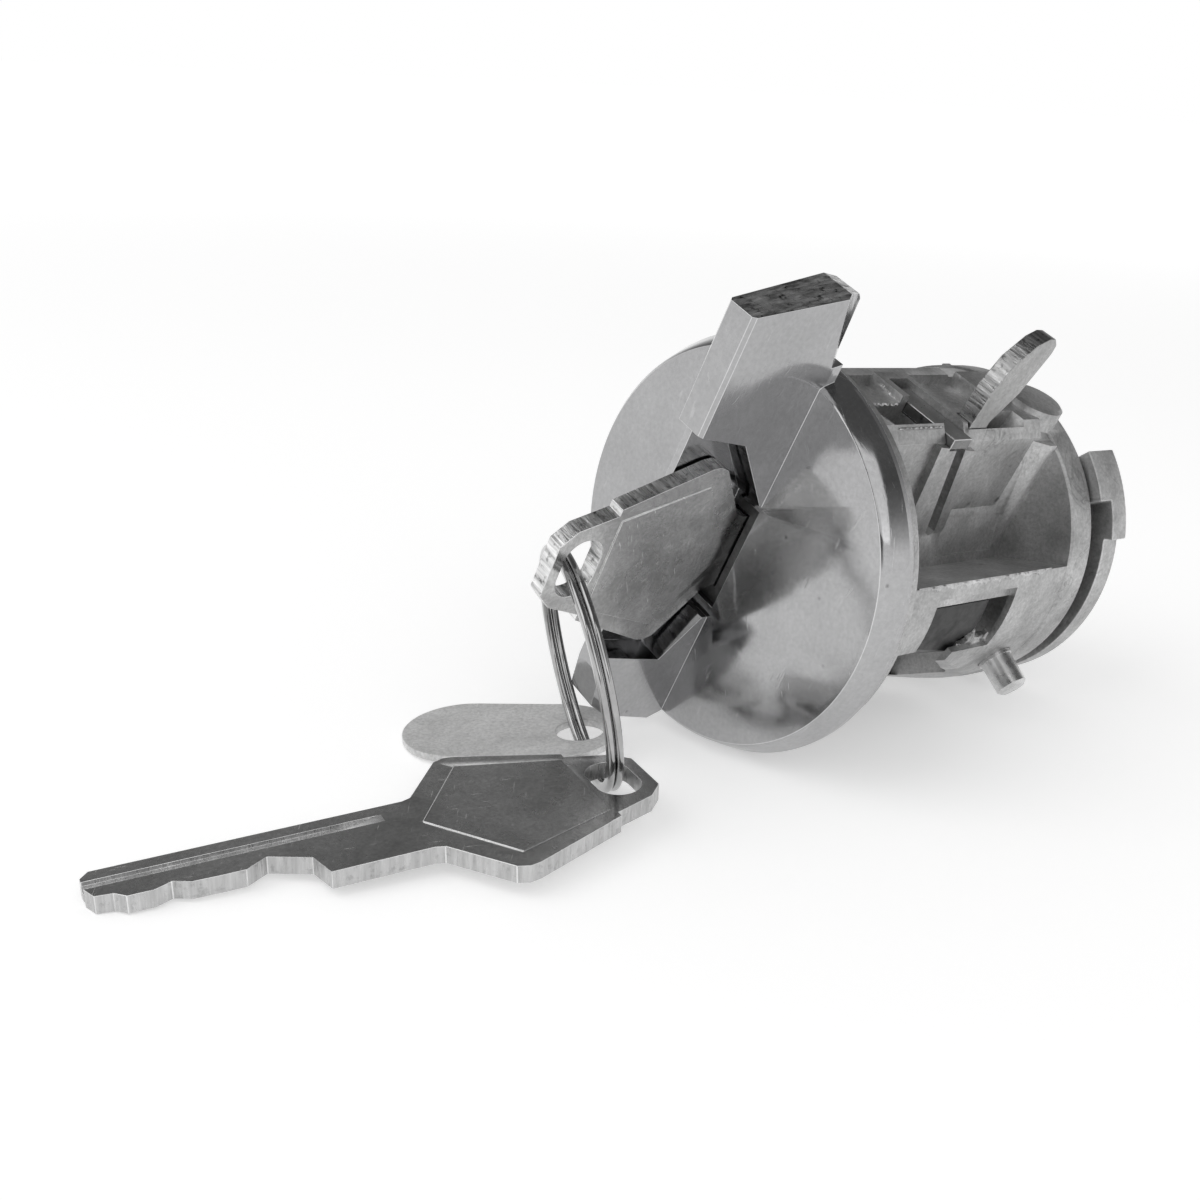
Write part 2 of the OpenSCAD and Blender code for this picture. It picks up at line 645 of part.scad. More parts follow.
ring_turn = 25.5;
ring_lean = 11;
ring_r = ring_d / 2;
ring_half_t = ring_wire_t + 0.04;
ring_foot = [0.17, -20.1];
ring_along = [cos(ring_turn), -sin(ring_turn)];
ring_across = [sin(ring_turn), cos(ring_turn)];
ring_centre = concat(ring_foot - sin(ring_lean) * ring_r * ring_across,
                     floor_z + ring_r * cos(ring_lean) + ring_half_t * sin(ring_lean));
spare_turn = 14;
spare_lift = 2.2;
spare_slope = asin(spare_lift / (blade_l + slot_u - 1));
spare_slot = ring_foot + 7.5 * ring_along - 0.5 * ring_across;
spare_root = spare_slot - slot_u * [sin(spare_turn), cos(spare_turn)];
tag_turn = 222;
tag_lift = 1.9;
tag_hole = ring_foot - 5.7 * ring_along - 0.4 * ring_across;
tag_hole_d = 5;
tag_edge = 4;

module wire_section() {
    t = ring_wire_t;
    union() {
        translate([ring_r - ring_wire_w + t / 2, 0]) circle(d = t);
        translate([ring_r - t / 2, 0]) circle(d = t);
        translate([ring_r - ring_wire_w + t / 2, -t / 2]) square([ring_wire_w - t, t]);
    }
}
module split_ring() {
    color("silver") translate(ring_centre) rotate([0, 0, -ring_turn]) rotate([90 + ring_lean, 0, 0])
        rotate([0, 0, 150]) {
            // Two turns, each with a free end, joined where the wire steps across
            translate([0, 0, -ring_half_t / 2 - 0.01]) rotate_extrude(angle = 352) wire_section();
            translate([0, 0, ring_half_t / 2 + 0.01]) rotate([0, 0, 8]) rotate_extrude(angle = 352)
                wire_section();
            rotate([0, 0, -3]) rotate_extrude(angle = 6)
                translate([ring_r - ring_wire_w + 0.1, -ring_half_t + 0.1])
                    square([ring_wire_w - 0.2, 2 * ring_half_t - 0.2]);
        }
}
module spare_key() {
    height = floor_z + key_t / 2 * cos(spare_slope) + blade_l * sin(spare_slope);
    color("gainsboro") translate(concat(spare_root, height)) rotate([0, 0, 90 - spare_turn])
        rotate([180, -spare_slope, 0]) key_solid();
}
module tag() {
    slope = asin(tag_lift / (tag_l - tag_edge));
    height = floor_z + tag_lift + tag_t / 2;
    color("lightgray") translate(concat(tag_hole, height)) rotate([0, slope, tag_turn])
        linear_extrude(tag_t, center = true) difference() {
            union() {
                translate([tag_w / 2 - tag_edge, 0]) circle(d = tag_w);
                translate([tag_l - tag_edge - tag_w / 2, 0]) circle(d = tag_w);
                translate([tag_w / 2 - tag_edge, -tag_w / 2]) square([tag_l - tag_w, tag_w]);
            }
            circle(d = tag_hole_d);
        }
}

lock_body();
turn_knob();
plug();
tumbler(0);  // tumbler_1
tumbler(1);  // tumbler_2
tumbler(2);  // tumbler_3
tumbler(3);  // tumbler_4
tumbler(4);  // tumbler_5
tumbler(5);  // tumbler_6
tumbler_springs();
sidebar();
sidebar_springs();
face_washer();
detent_ball();
detent_spring();
drive_cam();
cam_washer();
cam_clip();
retaining_pin();
pin_spring();
release_lever();
lever_pivot();
lever_spring();
cross_bolt();
bolt_spring();
core_sleeve();
key();
split_ring();
spare_key();
tag();
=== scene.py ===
"""Looks for the steering column lock cylinder: plated knob, zinc casting, keys, split ring and tag."""
import math

import bmesh
import bpy
import numpy as np
from mathutils import Matrix, Vector


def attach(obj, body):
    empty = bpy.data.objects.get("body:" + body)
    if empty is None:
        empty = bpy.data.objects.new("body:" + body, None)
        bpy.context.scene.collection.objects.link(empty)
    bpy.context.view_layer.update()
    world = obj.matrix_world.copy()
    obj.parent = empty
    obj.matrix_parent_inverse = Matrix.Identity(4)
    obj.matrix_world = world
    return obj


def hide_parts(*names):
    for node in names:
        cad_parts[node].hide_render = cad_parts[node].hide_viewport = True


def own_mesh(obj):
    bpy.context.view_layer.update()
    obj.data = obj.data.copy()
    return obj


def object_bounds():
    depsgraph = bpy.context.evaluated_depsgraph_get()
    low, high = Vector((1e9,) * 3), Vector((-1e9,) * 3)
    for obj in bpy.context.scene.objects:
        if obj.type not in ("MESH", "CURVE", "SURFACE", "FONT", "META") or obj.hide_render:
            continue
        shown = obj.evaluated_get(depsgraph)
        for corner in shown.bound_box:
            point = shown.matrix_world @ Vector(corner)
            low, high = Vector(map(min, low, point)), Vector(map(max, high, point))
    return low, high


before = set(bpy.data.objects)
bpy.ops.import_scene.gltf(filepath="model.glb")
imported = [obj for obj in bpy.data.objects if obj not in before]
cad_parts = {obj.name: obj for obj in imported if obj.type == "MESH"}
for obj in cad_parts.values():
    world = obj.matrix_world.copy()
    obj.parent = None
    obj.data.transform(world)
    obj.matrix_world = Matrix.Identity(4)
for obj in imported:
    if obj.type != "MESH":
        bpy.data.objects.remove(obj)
cad_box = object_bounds()

MM = 0.001

# How the lock lies, from sizes in millimetres that the looks share with the solids: it rests on the knob's
# band and on the rear land
BAND_D = 43
LAND_D = 36.4
BAND_TO_LAND = 36
REST_TILT = math.atan((BAND_D - LAND_D) / 2 / BAND_TO_LAND)
BODY_ROLL = math.radians(21)
FLOOR_Z = cad_box[0][2]

# For pieces made from the solids: points nearer than WELD metres are merged, faces that turn by less than
# FLAT_ANGLE are joined, and edges that turn by more than SHARP_ANGLE are sharp and rounded. Bars made here
# have BAR_ANGLE instead
WELD = 2e-6
FLAT_ANGLE = math.radians(0.4)
SHARP_ANGLE = math.radians(32)
BAR_ANGLE = math.radians(50)

# Soft boxes: name, place in metres, width in metres and power in watts
LAMPS = (("front_box", (-0.25, -0.75, 0.85), 0.9, 3.4),
         ("right_box", (0.90, -0.46, 0.75), 1.0, 3.0))
# Grey of the even light that falls on the part from all round
ROOM_LIGHT = 0.52
# What is reflected: white up to SKY_EDGE, the sine of a height, then steps of height above that edge and grey
SKY_EDGE = 0.14
CEILING = 0.11
SKY_STEPS = ((0.12, 0.62), (0.30, 0.24), (0.5, CEILING))
# A dark card behind the camera, which bright faces reflect: its direction from the part, the cosines at its
# outer and inner edge, and its grey
CARD_WAY = (0.70, -0.65, 0.29)
CARD_EDGE = (0.955, 0.985)
CARD_GREY = 0.06
# The floor: half its width, its gap below the part, how much white it has of its own, and how far from the
# part its fade into white begins and ends
FLOOR_HALF = 3.0
FLOOR_GAP = 0.00002
FLOOR_LIFT = 0.40
FLOOR_FADE = (0.22, 0.55)

# A turn from the lock's own frame into the row's frame, and from the rolled casting's frame
LIES = Matrix.Rotation(-REST_TILT, 4, "X")
ROLLED = LIES @ Matrix.Rotation(BODY_ROLL, 4, "Y")


def aim_camera():
    """The photograph's camera: its place in mm, its axes and its lens, solved in the lock's own frame."""
    place = Vector((96.8, -109.9, 36.2)) * MM
    right = Vector((0.6459, 0.7538, 0.1208))
    down = Vector((0.2983, -0.1036, -0.9488))
    ahead = Vector((-0.7027, 0.6489, -0.2917))
    turn = Matrix((right, -down, -ahead)).transposed().to_4x4()
    data = bpy.data.cameras.new("photo_camera")
    data.sensor_width = 36
    data.lens = 43.5
    data.clip_start = 0.005
    data.clip_end = 20
    camera = bpy.data.objects.new("photo_camera", data)
    bpy.context.scene.collection.objects.link(camera)
    camera.matrix_world = LIES @ (Matrix.Translation(place) @ turn)
    bpy.context.scene.camera = camera


# Materials

def add_node(tree, kind, links=(), **settings):
    """A new node in tree. links gives its inputs, each an output socket or a plain value, and settings its
    own fields."""
    made = tree.nodes.new(kind)
    for key, value in settings.items():
        setattr(made, key, value)
    for socket, source in dict(links).items():
        if hasattr(source, "is_output"):
            tree.links.new(source, made.inputs[socket])
        else:
            made.inputs[socket].default_value = source
    return made


class Finish:
    """A node material with short calls for the nodes that these metals need. Noise and cell scales are per
    metre, so 1000 gives a pattern about a millimetre wide, and greys are linear."""

    def __init__(self, name, colour, roughness, metallic=1.0):
        self.material = bpy.data.materials.new(name)
        self.material.use_nodes = True
        self.tree = self.material.node_tree
        self.shader = self.tree.nodes["Principled BSDF"]
        self.shader.inputs["Base Color"].default_value = (*colour, 1)
        self.shader.inputs["Roughness"].default_value = roughness
        self.shader.inputs["Metallic"].default_value = metallic
        self.colour = colour
        self.coord = self.tree.nodes.new("ShaderNodeTexCoord").outputs["Object"]

    def node(self, kind, links=(), **settings):
        return add_node(self.tree, kind, links, **settings)

    def spread(self, scale=(1, 1, 1), turn=(0, 0, 0)):
        """Object coordinates, turned and then scaled along each axis, to stretch a pattern."""
        turned = self.node("ShaderNodeMapping", {"Vector": self.coord, "Rotation": turn})
        return self.node("ShaderNodeMapping", {"Vector": turned.outputs[0], "Scale": scale}).outputs[0]

    def noise(self, scale, detail=4.0, rough=0.55, vector=None, warp=0.0):
        """Soft noise from 0 to 1."""
        links = {"Vector": vector or self.coord, "Scale": scale, "Detail": detail, "Roughness": rough,
                 "Distortion": warp}
        return self.node("ShaderNodeTexNoise", links).outputs["Fac"]

    def cells(self, scale):
        """Distance to the nearest of many scattered points, in cell widths."""
        return self.node("ShaderNodeTexVoronoi", {"Vector": self.coord, "Scale": scale}).outputs["Distance"]

    def ramp(self, source, low, high, start=0.0, end=1.0):
        """source from start to end becomes low to high, held outside."""
        return self.node("ShaderNodeMapRange", {"Value": source, "From Min": start, "From Max": end,
                                                "To Min": low, "To Max": high}).outputs[0]

    def maths(self, operation, a, b=0.0):
        """a and b, each a field or a number, joined by a Math node's operation."""
        return self.node("ShaderNodeMath", {0: a, 1: b}, operation=operation).outputs[0]

    def tint(self, amount):
        """Base colour times amount, a grey field."""
        mix = self.node("ShaderNodeVectorMath", {0: self.colour, "Scale": amount}, operation="SCALE")
        self.tree.links.new(mix.outputs[0], self.shader.inputs["Base Color"])
        return self

    def rough(self, field):
        """The field becomes the roughness."""
        self.tree.links.new(field, self.shader.inputs["Roughness"])
        return self

    def bump(self, *layers):
        """Each layer is (height field, height in mm)."""
        normal = None
        for field, height in layers:
            made = self.node("ShaderNodeBump", {"Height": field, "Strength": 1.0, "Distance": height * MM})
            if normal is not None:
                self.tree.links.new(normal, made.inputs["Normal"])
            normal = made.outputs[0]
        self.tree.links.new(normal, self.shader.inputs["Normal"])
        return self


def plated(name="polished_plate", grey=0.43):
    """Bright plate: faint ripples, hazy patches, fine scratches both ways, and small dark pits."""
    f = Finish(name, (grey, grey, grey * 1.01), 0.1)
    ripple = f.noise(90, 2, 0.5)
    fine = f.noise(2200, 3, 0.6)
    scratch_a = f.noise(260, 2, 0.6, f.spread((1, 18, 1), (0.4, 0.9, 0.3)))
    scratch_b = f.noise(300, 2, 0.6, f.spread((16, 1, 1), (0.1, 0.3, 1.1)))
    lines = f.maths("MAXIMUM", f.ramp(scratch_a, 0, 1, 0.66, 0.74), f.ramp(scratch_b, 0, 1, 0.68, 0.76))
    pits = f.maths("MULTIPLY", f.ramp(f.cells(380), 1, 0, 0.0, 0.10), f.ramp(f.noise(80, 2), 0, 1, 0.52, 0.6))
    haze = f.ramp(f.noise(140, 5, 0.6), 0.10, 0.24, 0.42, 0.72)
    f.rough(f.maths("ADD", haze, f.maths("MULTIPLY", lines, 0.12)))
    clouds = f.maths("MULTIPLY", f.ramp(f.noise(60, 4, 0.6), 0.88, 1.08, 0.3, 0.7),
                     f.ramp(fine, 0.93, 1.07, 0.3, 0.7))
    marks = f.maths("SUBTRACT", f.maths("MULTIPLY", lines, 0.16), f.maths("MULTIPLY", pits, 0.55))
    f.tint(f.maths("ADD", clouds, marks))
    return f.bump((ripple, 0.035), (fine, 0.0012), (lines, 0.003), (pits, -0.01))


def cast_zinc(name="cast_zinc", grey=0.54):
    """Dull casting: uneven skin, sand-like grain, a few blow holes, flow lines and darker stained patches."""
    f = Finish(name, (grey, grey, grey), 0.5)
    skin = f.noise(520, 6, 0.65)
    grain = f.noise(2700, 3, 0.7)
    holes = f.maths("MULTIPLY", f.ramp(f.cells(260), 1, 0, 0.0, 0.13),
                    f.ramp(f.noise(150, 3, 0.5), 0, 1, 0.52, 0.6))
    flow = f.maths("ABSOLUTE", f.maths("SUBTRACT", f.noise(95, 4, 0.6, warp=1.2), 0.5))
    flow = f.maths("MULTIPLY", f.ramp(flow, 1, 0, 0.0, 0.009), f.ramp(f.noise(70, 2, 0.5), 0, 1, 0.54, 0.62))
    stains = f.noise(120, 6, 0.65, warp=0.6)
    clouds = f.maths("MULTIPLY", f.ramp(stains, 0.68, 1.12, 0.32, 0.68), f.ramp(grain, 0.82, 1.18, 0.3, 0.7))
    marks = f.maths("ADD", f.maths("MULTIPLY", holes, 0.7), f.maths("MULTIPLY", flow, 0.28))
    f.tint(f.maths("MULTIPLY", clouds, f.maths("SUBTRACT", 1.0, marks)))
    f.rough(f.ramp(f.noise(300, 4, 0.6), 0.40, 0.60, 0.3, 0.7))
    return f.bump((skin, 0.045), (grain, 0.006), (holes, -0.12), (flow, -0.015))


def turned_to_z(way):
    """Angles that a Mapping node needs to bring the direction way onto Z."""
    return tuple(Vector(way).rotation_difference(Vector((0, 0, 1))).to_euler())


def sheared(name, way, grey, contrast):
    """Edge cut in a press: streaks along way, the sheet's thickness, with darker torn spots."""
    f = Finish(name, (grey, grey, grey), 0.3)
    turn = turned_to_z(way)
    streaks = f.noise(1500, 3, 0.7, f.spread((1, 1, 0.10), turn))
    fine = f.noise(3600, 2, 0.7, f.spread((1, 1, 0.12), turn))
    torn = f.ramp(f.noise(1300, 4, 0.7), 1, 0, 0.36, 0.44)
    f.tint(f.maths("SUBTRACT", f.ramp(streaks, 1 - contrast, 1 + contrast, 0.3, 0.7),
                   f.maths("MULTIPLY", torn, contrast)))
    f.rough(f.ramp(fine, 0.2, 0.5, 0.3, 0.7))
    return f.bump((streaks, 0.08), (fine, 0.03))


def worn_sheet(name, grey, dirt, rough=0.22):
    """Flat sheet face: soft clouds, fine grain, short handling scratches and a few small dents."""
    f = Finish(name, (grey, grey, grey * 0.995), rough)
    smudge = f.noise(95, 5, 0.65, warp=0.7)
    grain = f.noise(2600, 3, 0.65)
    scratch_a = f.noise(420, 2, 0.6, f.spread((1, 14, 1), (0.0, 0.2, 0.7)))
    scratch_b = f.noise(380, 2, 0.6, f.spread((12, 1, 1), (0.0, 0.1, 0.4)))
    lines = f.maths("MAXIMUM", f.ramp(scratch_a, 0, 1, 0.69, 0.75), f.ramp(scratch_b, 0, 1, 0.70, 0.76))
    clouds = f.maths("MULTIPLY", f.ramp(smudge, 1 - dirt, 1.1, 0.32, 0.64),
                     f.ramp(grain, 0.84, 1.16, 0.3, 0.7))
    f.tint(f.maths("ADD", clouds, f.maths("MULTIPLY", lines, 0.35)))
    f.rough(f.ramp(smudge, rough * 1.5, rough * 0.85, 0.3, 0.7))
    return f.bump((f.noise(150, 3, 0.5), 0.03), (lines, -0.008), (grain, 0.003))


def plain_steel(name, grey, roughness, grain=1500, height=0.008):
    """Machined or drawn steel: faint clouds and a fine grain of that scale, raised by height in mm."""
    f = Finish(name, (grey, grey, grey), roughness)
    lay = f.noise(grain, 3, 0.65)
    f.tint(f.maths("MULTIPLY", f.ramp(f.noise(300, 4, 0.6), 0.8, 1.12, 0.3, 0.7),
                   f.ramp(lay, 0.9, 1.1, 0.3, 0.7)))
    f.rough(f.ramp(lay, roughness * 0.7, roughness * 1.5, 0.3, 0.7))
    return f.bump((lay, height))


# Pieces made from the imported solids: welded, with their edges broken

def flat_levels(work):
    """Index 1 for the cut edges of a sheet, 2 for its sunk faces such as a groove's floor, else 0. The way of
    the sheet is the normal of its largest face. An edge faces over 60 degrees off it, and a sunk face is less
    than 0.7 mm from the sheet's middle plane."""
    sunk = 0.7 * MM
    largest = max(work.faces, key=lambda face: face.calc_area())
    way = largest.normal.copy()
    along = [vert.co.dot(way) for vert in work.verts]
    middle = (min(along) + max(along)) / 2
    for face in work.faces:
        if abs(face.normal.dot(way)) < 0.5:
            face.material_index = 1
        elif abs(face.calc_center_median().dot(way) - middle) < sunk:
            face.material_index = 2


def knob_regions(work):
    """Index 2 for the end of the paddle's long ear, further than ear_end from the axis, and 3 for the slot
    and socket behind the key's bow, a box about the axis, whose near-black finish is painted shade in that
    recess. Places are in mm in the casting's frame."""
    ear_end, box_x, box_z, box_front = 23, 2.6, 9.5, -6.4
    back = ROLLED.inverted().to_3x3()
    for face in work.faces:
        way, place = back @ face.normal, back @ face.calc_center_median() / MM
        if abs(way.z) > 0.7 and abs(place.z) > ear_end:
            face.material_index = 2
        elif abs(place.z) < box_z and abs(place.x) < box_x and place.y > box_front and abs(way.x) < 0.99:
            face.material_index = 3


def dress(node, body, finishes, radius, segments=2, levels=None, edge=None):
    """A copy of a CAD node with its loose triangles welded, flat areas joined, and its sharp edges rounded to
    radius in mm. levels gives each face its place in finishes, and edge is the rounded edges' place there."""
    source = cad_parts[node]
    mesh = source.data.copy()
    mesh.name = f"{node}_finished"
    work = bmesh.new()
    work.from_mesh(mesh)
    bmesh.ops.remove_doubles(work, verts=work.verts, dist=WELD)
    bmesh.ops.dissolve_limit(work, angle_limit=FLAT_ANGLE, verts=work.verts, edges=work.edges)
    work.normal_update()
    for face in work.faces:
        face.smooth = True
        face.material_index = 0
    if levels:
        levels(work)
    mesh.materials.clear()
    for finish in finishes:
        mesh.materials.append(finish.material)
    work.to_mesh(mesh)
    work.free()
    mesh.set_sharp_from_angle(angle=SHARP_ANGLE)
    piece = bpy.data.objects.new(mesh.name, mesh)
    bpy.context.scene.collection.objects.link(piece)
    if radius:
        rounding = piece.modifiers.new("broken_edges", "BEVEL")
        rounding.width = radius * MM
        rounding.segments = segments
        rounding.limit_method = "ANGLE"
        rounding.angle_limit = SHARP_ANGLE
        rounding.miter_outer = "MITER_ARC"
        rounding.harden_normals = True
        if edge is not None:
            rounding.material = edge
    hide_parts(node)
    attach(piece, body)
    return piece


def repaint(node, finish):
    """A CAD node that stays as it is, with this finish alone."""
    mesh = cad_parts[node].data
    mesh.materials.clear()
    mesh.materials.append(finish.material)


# Floor and light

def seen_rays(tree):
    """1 for camera, glossy and transmission rays, which see the background as it is, else 0."""
    path = add_node(tree, "ShaderNodeLightPath").outputs
    total = path["Is Camera Ray"]
    for name in ("Is Glossy Ray", "Is Transmission Ray"):
        total = add_node(tree, "ShaderNodeMath", {0: total, 1: path[name]}, operation="MAXIMUM").outputs[0]
    return total


def floor_finish():
    """Pale floor that the camera and reflections see nearly white, and that keeps the shadow.
    Further out it fades into the white of the sky, with the distance from the part."""
    f = Finish("pale_floor", (0.8, 0.8, 0.8), 0.9, 0.0)
    f.shader.inputs["Specular IOR Level"].default_value = 0.1
    f.shader.inputs["Emission Color"].default_value = (1, 1, 1, 1)
    reach = f.node("ShaderNodeVectorMath", {0: f.coord}, operation="LENGTH").outputs["Value"]
    fade = f.ramp(reach, 0, 1, *FLOOR_FADE)
    f.tint(f.maths("SUBTRACT", 1.0, fade))
    lift = f.ramp(fade, FLOOR_LIFT, 1.0)
    f.tree.links.new(f.maths("MULTIPLY", lift, seen_rays(f.tree)), f.shader.inputs["Emission Strength"])
    return f.material


def sky():
    """What is seen or reflected is white all round up to SKY_EDGE, then a dark ceiling. The dark card is only
    reflected, as camera rays pass it by. What lights the part and the floor is an even grey."""
    world = bpy.data.worlds.new("studio")
    bpy.context.scene.world = world
    world.use_nodes = True
    tree = world.node_tree
    way = add_node(tree, "ShaderNodeTexCoord").outputs["Generated"]
    height = add_node(tree, "ShaderNodeSeparateXYZ", {0: way}).outputs["Z"]
    ramp = add_node(tree, "ShaderNodeValToRGB", {0: height})
    stops = ramp.color_ramp.elements
    stops[0].position, stops[0].color = SKY_EDGE, (1, 1, 1, 1)
    stops[1].position, stops[1].color = 1.0, (CEILING, CEILING, CEILING, 1)
    for above, grey in SKY_STEPS:
        stops.new(SKY_EDGE + above).color = (grey, grey, grey, 1)
    towards = add_node(tree, "ShaderNodeVectorMath", {0: way, 1: CARD_WAY}, operation="DOT_PRODUCT")
    outer, inner = CARD_EDGE
    edge = {"Value": towards.outputs["Value"], "From Min": outer, "From Max": inner, "To Min": 1.0,
            "To Max": CARD_GREY}
    card = add_node(tree, "ShaderNodeMapRange", edge, interpolation_type="SMOOTHSTEP").outputs[0]
    camera = add_node(tree, "ShaderNodeLightPath").outputs["Is Camera Ray"]
    shade = add_node(tree, "ShaderNodeMath", {0: card, 1: camera}, operation="MAXIMUM").outputs[0]
    seen = add_node(tree, "ShaderNodeVectorMath", {0: ramp.outputs[0], "Scale": shade}, operation="SCALE")
    colours = {"Factor": seen_rays(tree), 6: (ROOM_LIGHT, ROOM_LIGHT, ROOM_LIGHT, 1), 7: seen.outputs[0]}
    mix = add_node(tree, "ShaderNodeMix", colours, data_type="RGBA")
    background = tree.nodes["Background"]
    tree.links.new(mix.outputs[2], background.inputs["Color"])
    background.inputs["Strength"].default_value = 1.0


def studio():
    """The floor, the sky and two soft boxes that face the part."""
    mesh = bpy.data.meshes.new("floor")
    ways = ((-1, -1), (1, -1), (1, 1), (-1, 1))
    corners = [(x * FLOOR_HALF, y * FLOOR_HALF, FLOOR_Z - FLOOR_GAP) for x, y in ways]
    mesh.from_pydata(corners, [], [(0, 1, 2, 3)])
    mesh.materials.append(floor_finish())
    floor = bpy.data.objects.new("floor", mesh)
    bpy.context.scene.collection.objects.link(floor)
    sky()
    for name, place, width, power in LAMPS:
        data = bpy.data.lights.new(name, "AREA")
        data.shape = "SQUARE"
        data.size = width
        data.energy = power
        lamp = bpy.data.objects.new(name, data)
        bpy.context.scene.collection.objects.link(lamp)
        lamp.location = place
        lamp.rotation_euler = (-Vector(place)).to_track_quat("-Z", "Y").to_euler()


# Small pieces worked out here: torn lips, a broken bit of skin, a spring's leg and the keys' groove floors

def along_path(name, sections, finish, body):
    """A closed bar: sections is an array of n outlines of m points, each joined to the next by quads, with an
    end cap at both ends. The points are in millimetres in the row's frame."""
    n, m, _ = sections.shape
    points = sections.reshape(-1, 3) * MM
    i, j = np.meshgrid(np.arange(n - 1), np.arange(m), indexing="ij")
    after = (j + 1) % m
    quads = np.stack([i * m + j, i * m + after, (i + 1) * m + after, (i + 1) * m + j], axis=-1).reshape(-1, 4)
    mesh = bpy.data.meshes.new(name)
    caps = [list(range(m))[::-1], list(range((n - 1) * m, n * m))]
    mesh.from_pydata(points.tolist(), [], quads.tolist() + caps)
    work = bmesh.new()
    work.from_mesh(mesh)
    bmesh.ops.recalc_face_normals(work, faces=work.faces)
    for face in work.faces:
        face.smooth = True
    work.to_mesh(mesh)
    work.free()
    mesh.set_sharp_from_angle(angle=BAR_ANGLE)
    mesh.materials.append(finish.material)
    piece = bpy.data.objects.new(name, mesh)
    bpy.context.scene.collection.objects.link(piece)
    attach(piece, body)
    return piece


def placed(points, turn):
    """points, an array of places in millimetres, turned by a 4x4 matrix whose shift is in millimetres too."""
    m = np.array(turn)
    return points @ m[:3, :3].T + m[:3, 3]


def ragged(n, seed, scale=9.0):
    """n values from 0 to 1: three waves of random places and heights, added, with finer tears on top."""
    rng = np.random.default_rng(seed)
    t = np.linspace(0, 1, n)
    waves = sum(np.sin(2 * np.pi * (scale * k * t + rng.random())) / k for k in (1.0, 2.3, 4.1))
    tears = rng.random(n) ** 3
    return np.clip(0.45 + 0.22 * waves + 0.35 * tears, 0.05, 1.0)


def torn_lip(name, start, end, out, up, width, height, seed, n, finish):
    """A torn lip along the straight line from start to end in the casting's frame: at each place a low hump
    that leans along out by up to width and stands along up by up to height, both by ragged amounts that die
    away over the last twelfth at both ends. Its foot is sunk a little into the casting."""
    t = np.linspace(0, 1, n)[:, None]
    line = (1 - t) * np.array(start) + t * np.array(end)
    out, up = np.array(out, float), np.array(up, float)
    lean = (width * ragged(n, seed))[:, None] * out
    rise = (height * ragged(n, seed + 7, 13.0))[:, None] * up
    ends = np.minimum(1, np.minimum(t, 1 - t) * 12)
    sections = np.stack([line - 0.15 * out - 0.1 * up, line - 0.12 * out + 0.02 * up + 0.3 * rise * ends,
                         line + (0.5 * lean + rise) * ends, line + (lean + 0.35 * rise) * ends,
                         line + 0.05 * out * ends - 0.12 * up], axis=1)
    return along_path(name, placed(sections, ROLLED), finish, "housing")


def broken_skin(finish):
    """A broken bit of the casting's skin at the window's low end: in the lock's frame a patch of a cylinder
    about y, 0.5 mm thick. Its radius is 17.35 with a wave and a rough grain, y runs from 17.0 to 22.3, and
    its ragged edges lie near -33 degrees and, bulging towards the middle of its length, above -27.5."""
    n, m = 60, 26
    y = np.linspace(17.0, 22.3, n)[:, None] + np.zeros((1, m))
    low = -33 + 1.5 * ragged(n, 31)[:, None]
    high = -27.5 + 6.0 * (ragged(n, 37, 2.2)[:, None]) * np.sin(np.pi * np.linspace(0.02, 0.98, n))[:, None]
    share = np.linspace(0, 1, m)[None, :]
    angle = np.radians(low * (1 - share) + high * share)
    rng = np.random.default_rng(41)
    radius = 17.35 + 0.28 * np.sin(2.1 * y + 9 * share) * share + 0.12 * rng.random((n, m))
    top = np.stack([radius * np.cos(angle), y, radius * np.sin(angle)], axis=-1)
    radius = radius - 0.5
    under = np.stack([radius * np.cos(angle), y, radius * np.sin(angle)], axis=-1)
    sections = np.concatenate([top, under[:, ::-1]], axis=1)
    return along_path("broken_skin", placed(sections, LIES), finish, "housing")


def spring_leg(finish):
    """A round wire of radius 0.16 in the pocket beside the bolt, along a quarter of an ellipse that falls by
    0.9."""
    n, m = 40, 10
    t = np.linspace(0, 1, n)
    path = np.stack([0.9 + 5.2 * np.sin(t * np.pi / 2), 7.2 + 3.3 * (1 - np.cos(t * np.pi / 2)) + 0.2 * t,
                     16.5 - 0.9 * t ** 2], axis=1)
    way = np.gradient(path, axis=0)
    way /= np.linalg.norm(way, axis=1, keepdims=True)
    side = np.cross(way, (0, 0, 1.0))
    side /= np.linalg.norm(side, axis=1, keepdims=True)
    lift = np.cross(side, way)
    turn = np.linspace(0, 2 * np.pi, m, endpoint=False)[None, :, None]
    sections = path[:, None] + 0.16 * (np.cos(turn) * side[:, None] + np.sin(turn) * lift[:, None])
    return along_path("spring_leg", placed(sections, ROLLED), finish, "housing")


def groove_floor(name, turn, side, finish, body):
    """The milled groove's slanted floor in a key's own frame, u along the blade, v across it and w through
    it: a bar whose top falls from 0.80 to 0.46 across the groove, and rises level with the face where the
    cutter ran out."""
    n = 60
    u = np.linspace(-28.1, -2.45, n)
    out = np.clip((u + 7.5) / 5.0, 0, 1) ** 1.5
    near = 0.80 + 0.072 * out
    far = 0.46 + 0.412 * out
    v = (-1.68, -2.92)
    zero = np.zeros(n)
    under = side * (zero + 0.38)
    corners = ((v[0], side * near), (v[1], side * far), (v[1], under), (v[0], under))
    sections = np.stack([np.stack([u, zero + across, w], 1) for across, w in corners], axis=1)
    return along_path(name, placed(sections, turn), finish, body)


aim_camera()
studio()

